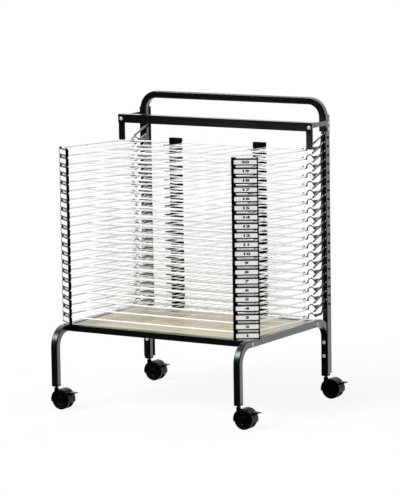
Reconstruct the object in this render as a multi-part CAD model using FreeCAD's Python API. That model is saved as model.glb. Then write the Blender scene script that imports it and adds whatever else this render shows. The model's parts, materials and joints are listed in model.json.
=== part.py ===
"""Art drying rack: a wheeled steel stand that carries twenty hinged wire shelves.

Frame: +Z up, floor at Z = 0, X across the rack (positive to the user's right as
they face it), Y from the open front (negative) to the push handle at the rear.
Lengths are in millimetres.  While it is built, the front legs' front face lies at
Y = 0; the last step centres the finished rack on its own footprint.
"""
import FreeCAD
import Part
import math
import os

V = FreeCAD.Vector
X_AXIS = V(1, 0, 0)
Y_AXIS = V(0, 1, 0)
Z_AXIS = V(0, 0, 1)

# ---- stand: square steel tube ------------------------------------------------
TUBE = 25.0                     # outside width of the square tube
TUBE_WALL = 1.5
TUBE_CORNER = 4.0               # outside corner radius of the tube
FRAME_WIDTH = 760.0             # over the outer faces of the two side frames
FRAME_DEPTH = 618.0             # front face of front leg to rear face of rear leg
LEG_BOTTOM_Z = 83.5             # underside of the leg tubes
SIDE_RAIL_Z = 273.0             # centre line of the side rails and crossbars
SIDE_BEND_RADIUS = 60.0         # centre-line radius of the side-frame bends
CROSSBAR_INSET = 90.0           # crossbar centre from the leg's outer face

# ---- tray ----------------------------------------------------------------------
BOARD_THICKNESS = 9.0
BOARD_RECESS = 3.0              # board surface below the top of the tubes
BOARD_GAP = 0.5                 # clearance of the board inside its frame
LEDGE_WIDTH = 16.0              # steel strip welded under the board
LEDGE_THICKNESS = 3.0

# ---- uprights: steel angle -------------------------------------------------------
ANGLE_THICKNESS = 2.5
ANGLE_REAR_LEG = 32.0           # leg across the back
ANGLE_SIDE_LEG = 25.0           # leg along the side
UPRIGHT_BOTTOM_Z = 86.0
UPRIGHT_TOP_Z = 994.0

# ---- push handle -------------------------------------------------------------------
HANDLE_CENTRE_Z = 1040.0        # centre line of the grip bar
HANDLE_BEND_RADIUS = 55.0
HANDLE_END_Z = 936.0            # lower ends of the handle's legs

# ---- top rail ------------------------------------------------------------------------
RAIL_HALF_LENGTH = 396.0
RAIL_FRONT_Y = 475.0
RAIL_TOP_Z = 978.0
RAIL_LEG = 30.0                 # both legs of the rail's angle section
SHEET = 3.0                     # steel sheet of rail, arms and drop bars
RAIL_ARM_HEIGHT = 17.0
RAIL_ARM_END_Y = 617.0
RAIL_ARM_TONGUE = 22.0          # how far the arm's gusset hangs below it
DROP_BAR_WIDTH = 25.5
DROP_BAR_BOTTOM_Z = 886.0

# ---- shelves ---------------------------------------------------------------------------
SHELF_COUNT = 20
SHELF_PITCH = 30.7
LOWEST_PIVOT_Z = 331.5
PIVOT_Y = 610.0
SHELF_TILT = 2.0                # degrees that a resting shelf leans back
WIRE_DROP = 35.0                # wire plane below the pivot, square to the shelf
SHELF_FRONT_Y = 56.0            # front wire
SHELF_REAR_Y = 497.0            # rear wire
SHELF_HALF_WIDTH = 380.0        # side wires
SHELF_FRONT_CORNER_X = 328.0
FRONT_CORNER_ANGLE = 40.0       # degrees between front wire and corner wire
SHELF_REAR_CHAMFER_X = 35.0
SHELF_REAR_CHAMFER_Y = 50.0
RIM_WIRE_RADIUS = 2.5
CROSS_WIRE_RADIUS = 2.0
DEPTH_WIRE_RADIUS = 1.1
WIRE_BEND_RADIUS = 12.0
CROSS_WIRE_YS = (250.0, 355.0)
DEPTH_WIRE_COUNT = 8
DEPTH_WIRE_PITCH = 82.0
CROSS_WIRE_SINK = 3.2           # cross wires are welded under the depth wires

# ---- shelf arms and pivots -----------------------------------------------------------------
ARM_X = 356.5                   # inner face of the flat arm
ARM_THICKNESS = 2.5
PIVOT_PIN_RADIUS = 2.1
PIVOT_HOLE_RADIUS = 2.15
PIVOT_BOSS_RADIUS = 7.0
SLEEVE_RADIUS = 4.0
HUMP_RADIUS = 1.9               # bent rod between clip and arm, on which the spring hooks
HUMP_START = (-106.0, 3.0)      # (Y from the pivot, height above the wire plane)
HUMP_TOP = (-87.0, 9.4)
HUMP_END = (-57.0, -3.0)
CLIP_START_X = 343.5            # clip round the rear wire
CLIP_END_X = 360.0
CLIP_BAND_WIDTH = 6.0
CLIP_BAND_HALF = 4.2
CLIP_BAR_TOP = -3.2             # strip under the wire, from the wire plane
CLIP_BAR_THICKNESS = 2.2
CLIP_FOOT_WIDTH = 4.4

# ---- corner card holders, moulded -------------------------------------------------------------
HOLDER_TOP = 2.85               # above the wire plane
HOLDER_GAP = 0.35               # left between two stacked holders
HOLDER_LENGTH = 90.0
HOLDER_START = -2.0             # along the chamfer, from its front corner
POST_WIDTH = 14.0
END_POST_WIDTH = 4.5
POST_DEPTH = 9.4
CARD_PLATE_FRONT = 6.4          # outer face in front of the wire's centre line
CARD_PLATE_THICKNESS = 3.6
CARD_PLATE_HEIGHT = 23.4
CARD_PLATE_DROP = 4.3           # plate top below the posts' tops
CARD_WINDOW = (77.0, 17.0)
CARD_WINDOW_START = 8.5         # from the holder's inner end
EAR_LENGTH = 8.0                # sloping ears between plate and posts
CARD_RECESS = 1.4

# ---- rear stops, moulded ---------------------------------------------------------------------
STOP_XS = (-168.5, 174.5)
STOP_WIDTH = 51.0
STOP_DEPTH = 9.0
STOP_BELOW = 3.5                # block, from the wire plane
STOP_ABOVE = 17.5
STOP_LOBE_BELOW = 6.5           # underside of the block's right half
STOP_LOBE_WIDTH = 27.0
STOP_FOOT_BELOW = 9.5           # underside of the foot, from the wire plane
STOP_FOOT_WIDTH = 23.0
STOP_FOOT_LENGTH = 38.0
STOP_FOOT_THICKNESS = 3.0

# ---- springs -------------------------------------------------------------------------------------
SPRING_X = 364.2
SPRING_RADIUS = 3.8
SPRING_WIRE_RADIUS = 0.7
SPRING_HOOK = 7.0               # hook length at each end of the coils
SPRING_LOW = (-84.5, -19.3)     # (Y, Z) from the shelf's pivot
SPRING_HIGH = (4.5, 13.0)

# ---- casters ----------------------------------------------------------------------------------------
WHEEL_RADIUS = 34.5
WHEEL_WIDTH = 13.0
WHEEL_EDGE = 3.0
WHEEL_HUB_RADIUS = 23.5
WHEEL_INSIDE = 6.6              # wheel's inner face from the caster's middle plane
CASTER_TRAIL = 27.5
AXLE_RADIUS = 3.0
AXLE_HOLE_RADIUS = 3.05
WEB_HALF_WIDTH = 6.0
WEB_BOTTOM_Z = 25.0
HOOD_INNER_RADIUS = 35.5
HOOD_THICKNESS = 1.7
HOOD_HALF_WIDTH = 20.5
HOOD_FROM_ANGLE = -14.0
HOOD_TO_ANGLE = 194.0
STEM_RADIUS = 4.0
STEM_HOLE_RADIUS = 4.05
STEM_TOP_Z = 104.0
BOSS_RADIUS = 8.0
BOSS_TOP_Z = 72.5
PLUG_FLANGE = 7.0
PLUG_CHAMFER = 2.5
PLUG_INSERT = 20.0
LEVER_ANGLE = 36.0              # direction of the brake lever from the wheel centre
LEVER_PIVOT_RADIUS = 27.0       # pivot distance from the wheel centre
LEVER_PIN_RADIUS = 1.8
LEVER_HOLE_RADIUS = 1.85
LEVER_SLOT_HALF = 3.3
LEVER_HALF_THICKNESS = 2.8
LEVER_BLADE_START = 40.0        # from the wheel centre, outside the hood
LEVER_BLADE_LENGTH = 23.5
LEVER_BLADE_HALF_WIDTH = 10.0
LEVER_BLADE_RISE = 3.0
LEVER_BLADE_ROOT = 8.0          # thickness where the blade meets the shank
LEVER_BLADE_TIP = 2.4

# ---- fasteners ---------------------------------------------------------------------------------------
SCREW_HEAD_RADIUS = 6.5
SCREW_HEAD_HEIGHT = 3.6
SCREW_SHANK_RADIUS = 2.9

# ---- worked out from the above -----------------------------------------------------------------------
HALF_WIDTH = FRAME_WIDTH / 2
HALF_TUBE = TUBE / 2
LEG_X = HALF_WIDTH - HALF_TUBE
FRONT_LEG_Y = HALF_TUBE
REAR_LEG_Y = FRAME_DEPTH - HALF_TUBE
TUBE_TOP_Z = SIDE_RAIL_Z + HALF_TUBE
INNER_X = HALF_WIDTH - TUBE
ANGLE_OUTER_X = HALF_WIDTH + ANGLE_THICKNESS
ANGLE_OUTER_Y = FRAME_DEPTH + ANGLE_THICKNESS
HOLDER_HEIGHT = SHELF_PITCH - HOLDER_GAP
ARM_MIDDLE_X = ARM_X + ARM_THICKNESS / 2
RAIL_ARM_TOP_Z = RAIL_TOP_Z - SHEET
RAIL_ARM_MIDDLE_Z = RAIL_ARM_TOP_Z - RAIL_ARM_HEIGHT / 2


def box(x0, x1, y0, y1, z0, z1):
    """Axis-aligned block between two corners."""
    return Part.makeBox(x1 - x0, y1 - y0, z1 - z0, V(x0, y0, z0))


def cylinder(start, axis, length, radius):
    """Round bar from a start point along an axis."""
    return Part.makeCylinder(radius, length, start, axis)


def rod(start, end, radius):
    """Round bar between two points."""
    return Part.makeCylinder(radius, (end - start).Length, start, end - start)


def polygon_plate(points, thickness_vector):
    """Flat plate: a closed outline extruded by a vector."""
    outline = Part.makePolygon(list(points) + [points[0]])
    return Part.Face(outline).extrude(thickness_vector)


def mirrored(shape):
    """The same piece on the other side of the rack."""
    return shape.mirror(V(0, 0, 0), X_AXIS)


def moved(shape, x, y, z):
    """A copy of the shape, shifted."""
    copy = shape.copy()
    copy.translate(V(x, y, z))
    return copy


def rounded_square(half, corner):
    """Face: a square with round corners, about the origin in the XY plane."""
    square = box(-half, half, -half, half, 0, 1)
    upright_edges = [e for e in square.Edges if abs(e.tangentAt(e.FirstParameter).z) > 0.5]
    solid = square.makeFillet(corner, upright_edges)
    return next(f for f in solid.Faces if f.CenterOfMass.z < 1e-6)


def tube_face(place, direction):
    """Ring-shaped section of the square tube, square to a direction."""
    outer = rounded_square(HALF_TUBE, TUBE_CORNER)
    inner = rounded_square(HALF_TUBE - TUBE_WALL, TUBE_CORNER - TUBE_WALL)
    ring = outer.cut(inner).Faces[0]
    ring.Placement = FreeCAD.Placement(place, FreeCAD.Rotation(Z_AXIS, direction))
    return ring


def straight_tube(start, end):
    """Length of square tube between two centre-line points."""
    return tube_face(start, end - start).extrude(end - start)


def tube_bend(start, direction, centre, axis):
    """Quarter bend of square tube about a centre point."""
    return tube_face(start, direction).revolve(centre, axis, 90)


def drilled(shape, screws):
    """Cut the shank of every screw out of a shape."""
    for screw in screws:
        shape = shape.cut(screw_shank(screw))
    return shape


# ---- fasteners ---------------------------------------------------------------------------------------
def screw_list():
    """Every frame screw: head seat, outward direction of the head, shank length."""
    crossbar_ys = (CROSSBAR_INSET, FRAME_DEPTH - CROSSBAR_INSET)
    side_screws = [(V(HALF_WIDTH, y, SIDE_RAIL_Z), X_AXIS, 45.0) for y in crossbar_ys]
    leg_screws = [(V(LEG_X, FRAME_DEPTH - TUBE, z), -Y_AXIS, TUBE + ANGLE_THICKNESS)
                  for z in (149.0, 197.0)]
    arm_plate_x = ANGLE_OUTER_X + SHEET
    arm_screws = [(V(arm_plate_x, FRAME_DEPTH - 10.0, z), X_AXIS, 12.0)
                  for z in (RAIL_ARM_MIDDLE_Z, RAIL_ARM_MIDDLE_Z - 21.5)]
    rail_screw = (V(RAIL_HALF_LENGTH - DROP_BAR_WIDTH / 2, RAIL_FRONT_Y, RAIL_TOP_Z - 16.0),
                  -Y_AXIS, 2 * SHEET + 4.0)
    return side_screws + leg_screws + arm_screws + [rail_screw]


def screw_shank(screw):
    """Shank of one screw, from its seat inwards."""
    seat, outward, length = screw
    return cylinder(seat, -outward, length, SCREW_SHANK_RADIUS)


def screw_body(screw):
    """Domed head and shank of one screw."""
    seat, outward, length = screw
    dome_radius = (SCREW_HEAD_RADIUS ** 2 + SCREW_HEAD_HEIGHT ** 2) / (2 * SCREW_HEAD_HEIGHT)
    ball = Part.makeSphere(dome_radius, seat + outward * (SCREW_HEAD_HEIGHT - dome_radius))
    head = ball.common(cylinder(seat, outward, SCREW_HEAD_HEIGHT, SCREW_HEAD_RADIUS))
    socket = cylinder(seat + outward * 1.6, outward, SCREW_HEAD_HEIGHT, 2.0)
    return head.cut(socket).fuse(screw_shank(screw)).removeSplitter()


def frame_fasteners():
    """All frame screws, both sides."""
    right = [screw_body(screw) for screw in screw_list()]
    return right + [mirrored(screw) for screw in right]


# ---- stand -------------------------------------------------------------------------------------------
def side_frame():
    """Right-hand side frame: one tube bent into front leg, side rail and rear leg."""
    bend_z = SIDE_RAIL_Z - SIDE_BEND_RADIUS
    front_bend = V(LEG_X, FRONT_LEG_Y + SIDE_BEND_RADIUS, bend_z)
    rear_bend = V(LEG_X, REAR_LEG_Y - SIDE_BEND_RADIUS, bend_z)
    front_leg_top = V(LEG_X, FRONT_LEG_Y, bend_z)
    rear_leg_top = V(LEG_X, REAR_LEG_Y, bend_z)
    pieces = [
        straight_tube(V(LEG_X, FRONT_LEG_Y, LEG_BOTTOM_Z), front_leg_top),
        tube_bend(front_leg_top, Z_AXIS, front_bend, -X_AXIS),
        straight_tube(V(LEG_X, front_bend.y, SIDE_RAIL_Z), V(LEG_X, rear_bend.y, SIDE_RAIL_Z)),
        tube_bend(rear_leg_top, Z_AXIS, rear_bend, X_AXIS),
        straight_tube(V(LEG_X, REAR_LEG_Y, LEG_BOTTOM_Z), rear_leg_top),
    ]
    tube = pieces[0].multiFuse(pieces[1:]).removeSplitter()
    return drilled(tube, screw_list())


def crossbar(centre_y, ledge_side):
    """Tube between the side frames, with the strip that carries the board."""
    bar = straight_tube(V(-INNER_X, centre_y, SIDE_RAIL_Z), V(INNER_X, centre_y, SIDE_RAIL_Z))
    face_y = centre_y + ledge_side * HALF_TUBE
    board_bottom = TUBE_TOP_Z - BOARD_RECESS - BOARD_THICKNESS
    near, far = sorted((face_y, face_y + ledge_side * LEDGE_WIDTH))
    ledge = box(-INNER_X + 2, INNER_X - 2, near, far, board_bottom - LEDGE_THICKNESS, board_bottom)
    bar = bar.fuse(ledge).removeSplitter()
    bar = drilled(bar, screw_list())
    return mirrored(drilled(mirrored(bar), screw_list()))


def base_frame():
    """Two side frames and the two crossbars between them."""
    right = side_frame()
    return [right, mirrored(right), crossbar(CROSSBAR_INSET, 1),
            crossbar(FRAME_DEPTH - CROSSBAR_INSET, -1)]


def tray_board():
    """Plywood board that lies on the ledges, inside the base frame."""
    front = CROSSBAR_INSET + HALF_TUBE + BOARD_GAP
    top = TUBE_TOP_Z - BOARD_RECESS
    half = INNER_X - BOARD_GAP
    board = box(-half, half, front, FRAME_DEPTH - front, top - BOARD_THICKNESS, top)
    return [board.makeChamfer(0.8, board.Edges)]


def leg_plugs():
    """Plastic end plugs of the four legs; the caster stems turn in them."""
    plugs = []
    insert_half = HALF_TUBE - TUBE_WALL
    for y in (FRONT_LEG_Y, REAR_LEG_Y):
        flange = rounded_square(HALF_TUBE, TUBE_CORNER).extrude(V(0, 0, PLUG_FLANGE))
        flange = flange.makeChamfer(PLUG_CHAMFER, [e for e in flange.Edges if e.BoundBox.ZMax < 0.1])
        insert = rounded_square(insert_half, TUBE_CORNER - TUBE_WALL).extrude(V(0, 0, PLUG_INSERT))
        insert.translate(V(0, 0, PLUG_FLANGE))
        plug = flange.fuse(insert).removeSplitter()
        plug = plug.cut(cylinder(V(0, 0, -1), Z_AXIS, PLUG_FLANGE + PLUG_INSERT + 2, STEM_HOLE_RADIUS))
        plug = moved(plug, LEG_X, y, LEG_BOTTOM_Z - PLUG_FLANGE)
        plugs += [plug, mirrored(plug)]
    return plugs


def pivot_z(number):
    """Height of a shelf's pivot; shelf 1 is the lowest."""
    return LOWEST_PIVOT_Z + SHELF_PITCH * (number - 1)


def upright():
    """Right-hand upright: steel angle with a pivot hole and a spring hole per shelf."""
    side_leg = box(HALF_WIDTH, ANGLE_OUTER_X, ANGLE_OUTER_Y - ANGLE_SIDE_LEG, ANGLE_OUTER_Y,
                   UPRIGHT_BOTTOM_Z, UPRIGHT_TOP_Z)
    rear_leg = box(ANGLE_OUTER_X - ANGLE_REAR_LEG, ANGLE_OUTER_X, FRAME_DEPTH, ANGLE_OUTER_Y,
                   UPRIGHT_BOTTOM_Z, UPRIGHT_TOP_Z)
    angle = side_leg.fuse(rear_leg).removeSplitter()
    holes = []
    for number in range(1, SHELF_COUNT + 1):
        z = pivot_z(number)
        holes.append(cylinder(V(HALF_WIDTH - 1, PIVOT_Y, z), X_AXIS, 5, PIVOT_HOLE_RADIUS))
        holes.append(cylinder(V(SPRING_X, FRAME_DEPTH - 1, z + SPRING_HIGH[1]), Y_AXIS, 5, 2.0))
    angle = angle.cut(holes[0].multiFuse(holes[1:]))
    return drilled(angle, screw_list())


def rear_uprights():
    """The two uprights."""
    right = upright()
    return [right, mirrored(right)]


def push_handle():
    """Bent tube across the top; its legs stand in the corners of the uprights."""
    bend_z = HANDLE_CENTRE_Z - HANDLE_BEND_RADIUS
    bend_x = LEG_X - HANDLE_BEND_RADIUS
    leg_top = V(LEG_X, REAR_LEG_Y, bend_z)
    leg = straight_tube(V(LEG_X, REAR_LEG_Y, HANDLE_END_Z), leg_top)
    bend = tube_bend(leg_top, Z_AXIS, V(bend_x, REAR_LEG_Y, bend_z), -Y_AXIS)
    side = drilled(leg.fuse(bend), screw_list())
    grip = straight_tube(V(-bend_x, REAR_LEG_Y, HANDLE_CENTRE_Z), V(bend_x, REAR_LEG_Y, HANDLE_CENTRE_Z))
    return [grip.multiFuse([side, mirrored(side)]).removeSplitter()]


def rail_arm():
    """Right-hand arm from the top rail back to the upright, with its gusset."""
    x = ANGLE_OUTER_X
    top = RAIL_ARM_TOP_Z
    low = RAIL_ARM_TOP_Z - RAIL_ARM_HEIGHT
    tongue = low - RAIL_ARM_TONGUE
    outline = [V(x, RAIL_FRONT_Y + 2 * SHEET, top), V(x, RAIL_ARM_END_Y, top),
               V(x, RAIL_ARM_END_Y, tongue + 5), V(x, RAIL_ARM_END_Y - 5, tongue),
               V(x, RAIL_ARM_END_Y - 14, tongue), V(x, RAIL_ARM_END_Y - 19, tongue + 6),
               V(x, RAIL_ARM_END_Y - 24, low - 3), V(x, RAIL_ARM_END_Y - 33, low),
               V(x, RAIL_FRONT_Y + 2 * SHEET, low)]
    return drilled(polygon_plate(outline, V(SHEET, 0, 0)), screw_list())


def drop_bar():
    """Right-hand flat bar that hangs from the rail's end."""
    inner = RAIL_HALF_LENGTH - DROP_BAR_WIDTH
    bar = box(inner, RAIL_HALF_LENGTH, RAIL_FRONT_Y + SHEET, RAIL_FRONT_Y + 2 * SHEET,
              DROP_BAR_BOTTOM_Z, RAIL_TOP_Z - SHEET)
    low_edges = [e for e in bar.Edges
                 if abs(e.tangentAt(e.FirstParameter).y) > 0.5 and e.CenterOfMass.z < DROP_BAR_BOTTOM_Z + 1]
    return drilled(bar.makeFillet(5.0, low_edges), screw_list())


def top_rail():
    """Angle-section rail in front of the uprights, its arms and its drop bars."""
    rail_face = box(-RAIL_HALF_LENGTH, RAIL_HALF_LENGTH, RAIL_FRONT_Y, RAIL_FRONT_Y + SHEET,
                    RAIL_TOP_Z - RAIL_LEG, RAIL_TOP_Z)
    rail_top = box(-RAIL_HALF_LENGTH, RAIL_HALF_LENGTH, RAIL_FRONT_Y, RAIL_FRONT_Y + RAIL_LEG,
                   RAIL_TOP_Z - SHEET, RAIL_TOP_Z)
    rail = drilled(rail_face.fuse(rail_top).removeSplitter(), screw_list())
    rail = mirrored(drilled(mirrored(rail), screw_list()))
    right = [rail_arm(), drop_bar()]
    return [rail] + right + [mirrored(piece) for piece in right]


# ---- shelves, built level about their pivot axis (Y = 0, Z = 0) --------------------------------------
def shelf_point(x, y, above_wires=0.0):
    """Point of a level shelf from its plan position in the rack."""
    return V(x, y - PIVOT_Y, above_wires - WIRE_DROP)


def rim_outline():
    """Corners of the shelf's rim wire, from the front left, anticlockwise from above."""
    w = SHELF_HALF_WIDTH
    front = SHELF_FRONT_Y
    rear = SHELF_REAR_Y
    corner_depth = (w - SHELF_FRONT_CORNER_X) * math.tan(math.radians(FRONT_CORNER_ANGLE))
    side_rear = rear - SHELF_REAR_CHAMFER_Y
    right = [(SHELF_FRONT_CORNER_X, front), (w, front + corner_depth), (w, side_rear),
             (w - SHELF_REAR_CHAMFER_X, rear)]
    left = [(-x, y) for x, y in reversed(right)]
    return [shelf_point(x, y) for x, y in right + left]


def rounded_corners(corners, radius):
    """Start, middle and end of the tangent arc that rounds each corner of a closed path."""
    arcs = []
    count = len(corners)
    for i, corner in enumerate(corners):
        before = (corners[i - 1] - corner).normalize()
        after = (corners[(i + 1) % count] - corner).normalize()
        half_turn = math.acos(max(-1.0, min(1.0, before.dot(after)))) / 2
        reach = radius / math.tan(half_turn)
        inward = (before + after).normalize()
        middle = corner + inward * (radius / math.sin(half_turn) - radius)
        arcs.append((corner + before * reach, middle, corner + after * reach))
    return arcs


def rim_wires():
    """The shelf's rim: eight straight wires, each with the bend that leads into it."""
    arcs = rounded_corners(rim_outline(), WIRE_BEND_RADIUS)
    pieces = []
    for i, (start, middle, end) in enumerate(arcs):
        bend = Part.Arc(start, middle, end).toShape()
        straight = Part.LineSegment(end, arcs[(i + 1) % len(arcs)][0]).toShape()
        tangent = bend.tangentAt(bend.FirstParameter)
        section = Part.Wire(Part.makeCircle(RIM_WIRE_RADIUS, start, tangent))
        pieces.append(Part.Wire([bend, straight]).makePipeShell([section], True, False))
    return pieces


def wire_grid():
    """Plastic-coated shelf: rim wires with cross and depth wires welded between them."""
    rim = rim_wires()
    wires = []
    for y in CROSS_WIRE_YS:
        wires.append(rod(shelf_point(-SHELF_HALF_WIDTH, y, -CROSS_WIRE_SINK),
                         shelf_point(SHELF_HALF_WIDTH, y, -CROSS_WIRE_SINK), CROSS_WIRE_RADIUS))
    for i in range(DEPTH_WIRE_COUNT):
        x = (i - (DEPTH_WIRE_COUNT - 1) / 2) * DEPTH_WIRE_PITCH
        wires.append(rod(shelf_point(x, SHELF_FRONT_Y), shelf_point(x, SHELF_REAR_Y), DEPTH_WIRE_RADIUS))
    return rim + [wire.cut(rim) for wire in wires]


def flat_arm():
    """Flat steel arm: a low strip that rises to the pivot's boss, clear of the boss below it."""
    outline = [(-61, -30.2), (-61, -35), (-57, -42), (-16, -38.4), (-9, -36.3), (-6.9, -32),
               (-6.7, -29.2), (-5.4, -26.2), (-3.2, -24.1), (0, -23.1), (3, -22.9), (6.9, -21.8),
               (6.9, 0), (-6.9, 0), (-10, -22), (-15.5, -29), (-22, -31.5)]
    plate = polygon_plate([V(ARM_X, y, z) for y, z in outline], V(ARM_THICKNESS, 0, 0))
    boss = cylinder(V(ARM_X, 0, 0), X_AXIS, ARM_THICKNESS, PIVOT_BOSS_RADIUS)
    return plate.fuse(boss)


def pivot_pin():
    """Pin through the upright's side leg, with its spacer sleeve and push-on cap."""
    inner = ARM_X + ARM_THICKNESS
    pin = cylinder(V(inner, 0, 0), X_AXIS, ANGLE_OUTER_X + 4.2 - inner, PIVOT_PIN_RADIUS)
    sleeve = cylinder(V(inner, 0, 0), X_AXIS, HALF_WIDTH - 0.4 - inner, SLEEVE_RADIUS)
    cap = cylinder(V(ANGLE_OUTER_X + 0.4, 0, 0), X_AXIS, 2.2, 4.4)
    return pin.multiFuse([sleeve, cap])


def hump_wire():
    """Bent rod that joins the rear corner clip to the flat arm."""
    start, top, end = [V(ARM_MIDDLE_X, y, up - WIRE_DROP) for y, up in (HUMP_START, HUMP_TOP, HUMP_END)]
    arc = Part.Arc(start, top, end).toShape()
    tangent = arc.tangentAt(arc.FirstParameter)
    section = Part.Wire(Part.makeCircle(HUMP_RADIUS, start, tangent))
    return Part.Wire([arc]).makePipeShell([section], True, True)


def rear_clip():
    """Steel clip: a band round the rear wire, a strip under it and the foot of the bent rod."""
    middle = SHELF_REAR_Y - PIVOT_Y
    band = box(CLIP_START_X, CLIP_START_X + CLIP_BAND_WIDTH, middle - CLIP_BAND_HALF, middle + CLIP_BAND_HALF,
               CLIP_BAR_TOP - CLIP_BAR_THICKNESS - WIRE_DROP, CLIP_BAND_HALF - WIRE_DROP)
    bar_low = CLIP_BAR_TOP - CLIP_BAR_THICKNESS - WIRE_DROP
    foot_rear = HUMP_START[0] + CLIP_FOOT_WIDTH / 2
    bar = box(CLIP_START_X, CLIP_END_X, middle - CLIP_BAND_HALF, foot_rear, bar_low, CLIP_BAR_TOP - WIRE_DROP)
    foot = box(CLIP_END_X - CLIP_FOOT_WIDTH, CLIP_END_X, foot_rear - CLIP_FOOT_WIDTH, foot_rear, bar_low,
               HUMP_START[1] + HUMP_RADIUS - WIRE_DROP)
    return band.multiFuse([bar, foot]).removeSplitter()


def shelf_arm(grid):
    """Right-hand arm: clip on the rear wire, hump, flat arm and pivot pin in one weldment."""
    arm = flat_arm().multiFuse([pivot_pin(), hump_wire(), rear_clip()]).removeSplitter()
    return arm.cut(grid)


def card_holder(grid):
    """Right-hand corner holder: post, card frame and end post along the front chamfer."""
    low = HOLDER_TOP - HOLDER_HEIGHT
    end = HOLDER_START + HOLDER_LENGTH
    plate_back = CARD_PLATE_FRONT - CARD_PLATE_THICKNESS
    plate_top = HOLDER_TOP - CARD_PLATE_DROP
    plate_low = plate_top - CARD_PLATE_HEIGHT
    post = box(HOLDER_START, HOLDER_START + POST_WIDTH, CARD_PLATE_FRONT - POST_DEPTH, CARD_PLATE_FRONT,
               low, HOLDER_TOP)
    upright_edges = [e for e in post.Edges if abs(e.tangentAt(e.FirstParameter).z) > 0.5]
    post = post.makeFillet(1.5, upright_edges)
    end_post = box(end - END_POST_WIDTH, end, CARD_PLATE_FRONT - POST_DEPTH, CARD_PLATE_FRONT,
                   low, HOLDER_TOP)
    plate = box(HOLDER_START + 1, end - 1, plate_back, CARD_PLATE_FRONT, plate_low, plate_top)
    window_start = HOLDER_START + CARD_WINDOW_START
    window_z = (plate_top + plate_low) / 2
    window = box(window_start, window_start + CARD_WINDOW[0],
                 CARD_PLATE_FRONT - CARD_RECESS, CARD_PLATE_FRONT + 1,
                 window_z - CARD_WINDOW[1] / 2, window_z + CARD_WINDOW[1] / 2)
    ears = []
    for a, inward in ((HOLDER_START + POST_WIDTH - 0.5, 1), (end - END_POST_WIDTH + 0.5, -1)):
        for z, tip in ((plate_low, low + 0.3), (plate_top, HOLDER_TOP - 0.3)):
            outline = [V(a, plate_back, z), V(a + inward * EAR_LENGTH, plate_back, z), V(a, plate_back, tip)]
            ears.append(polygon_plate(outline, V(0, CARD_PLATE_THICKNESS, 0)))
    holder = post.multiFuse([end_post, plate] + ears).cut(window).removeSplitter()
    holder = holder.mirror(V(0, 0, 0), Y_AXIS)
    holder.rotate(V(0, 0, 0), Z_AXIS, FRONT_CORNER_ANGLE)
    corner = shelf_point(SHELF_FRONT_CORNER_X, SHELF_FRONT_Y)
    holder.translate(corner)
    return holder.cut(grid)


def rear_stop(centre_x, grid):
    """Moulded stop round the rear wire: a block whose left end carries a forward foot."""
    middle_y = SHELF_REAR_Y - PIVOT_Y
    rear = middle_y + STOP_DEPTH / 2
    front = middle_y - STOP_DEPTH / 2
    left = centre_x - STOP_WIDTH / 2
    block = box(left, left + STOP_WIDTH, front, rear, -WIRE_DROP - STOP_BELOW, -WIRE_DROP + STOP_ABOVE)
    corner_edges = [e for e in block.Edges if abs(e.tangentAt(e.FirstParameter).y) > 0.5]
    block = block.makeFillet(3.0, corner_edges)
    right = left + STOP_WIDTH
    lobe = box(right - STOP_LOBE_WIDTH, right - 3, front, rear, -WIRE_DROP - STOP_LOBE_BELOW, -WIRE_DROP)
    foot_low = -WIRE_DROP - STOP_FOOT_BELOW
    foot = box(left + 1, left + 1 + STOP_FOOT_WIDTH, front - STOP_FOOT_LENGTH, rear,
               foot_low, foot_low + STOP_FOOT_THICKNESS)
    heel = box(left + 1, left + 1 + STOP_FOOT_WIDTH, front, rear, foot_low, -WIRE_DROP + 5)
    return block.multiFuse([foot, heel, lobe]).removeSplitter().cut(grid)


def placed_shelf(shape, number):
    """A shelf piece leaned back about its pivot and lifted to its level."""
    copy = shape.copy()
    copy.rotate(V(0, 0, 0), -X_AXIS, SHELF_TILT)
    copy.translate(V(0, PIVOT_Y, pivot_z(number)))
    return copy


def shelf_spring():
    """Right-hand tension spring as its outer shape, with a hook at each end."""
    low = V(SPRING_X, SPRING_LOW[0], SPRING_LOW[1])
    high = V(SPRING_X, SPRING_HIGH[0], SPRING_HIGH[1])
    along = (high - low).normalize()
    coils = rod(low + along * SPRING_HOOK, high - along * SPRING_HOOK, SPRING_RADIUS)
    low_pin = cylinder(low + V(0.7, 0, 0), -X_AXIS, SPRING_X - ARM_X + 2.2, SPRING_WIRE_RADIUS)
    hooks = [rod(low, low + along * (SPRING_HOOK + 1), SPRING_WIRE_RADIUS),
             rod(high - along * (SPRING_HOOK + 1), high + along * 1.5, SPRING_WIRE_RADIUS),
             low_pin]
    return coils.multiFuse(hooks).removeSplitter()


def shelf_springs():
    """All springs, two at each level."""
    right = shelf_spring()
    springs = []
    for number in range(1, SHELF_COUNT + 1):
        spring = moved(right, 0, PIVOT_Y, pivot_z(number))
        springs += [spring, mirrored(spring)]
    return springs


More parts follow.
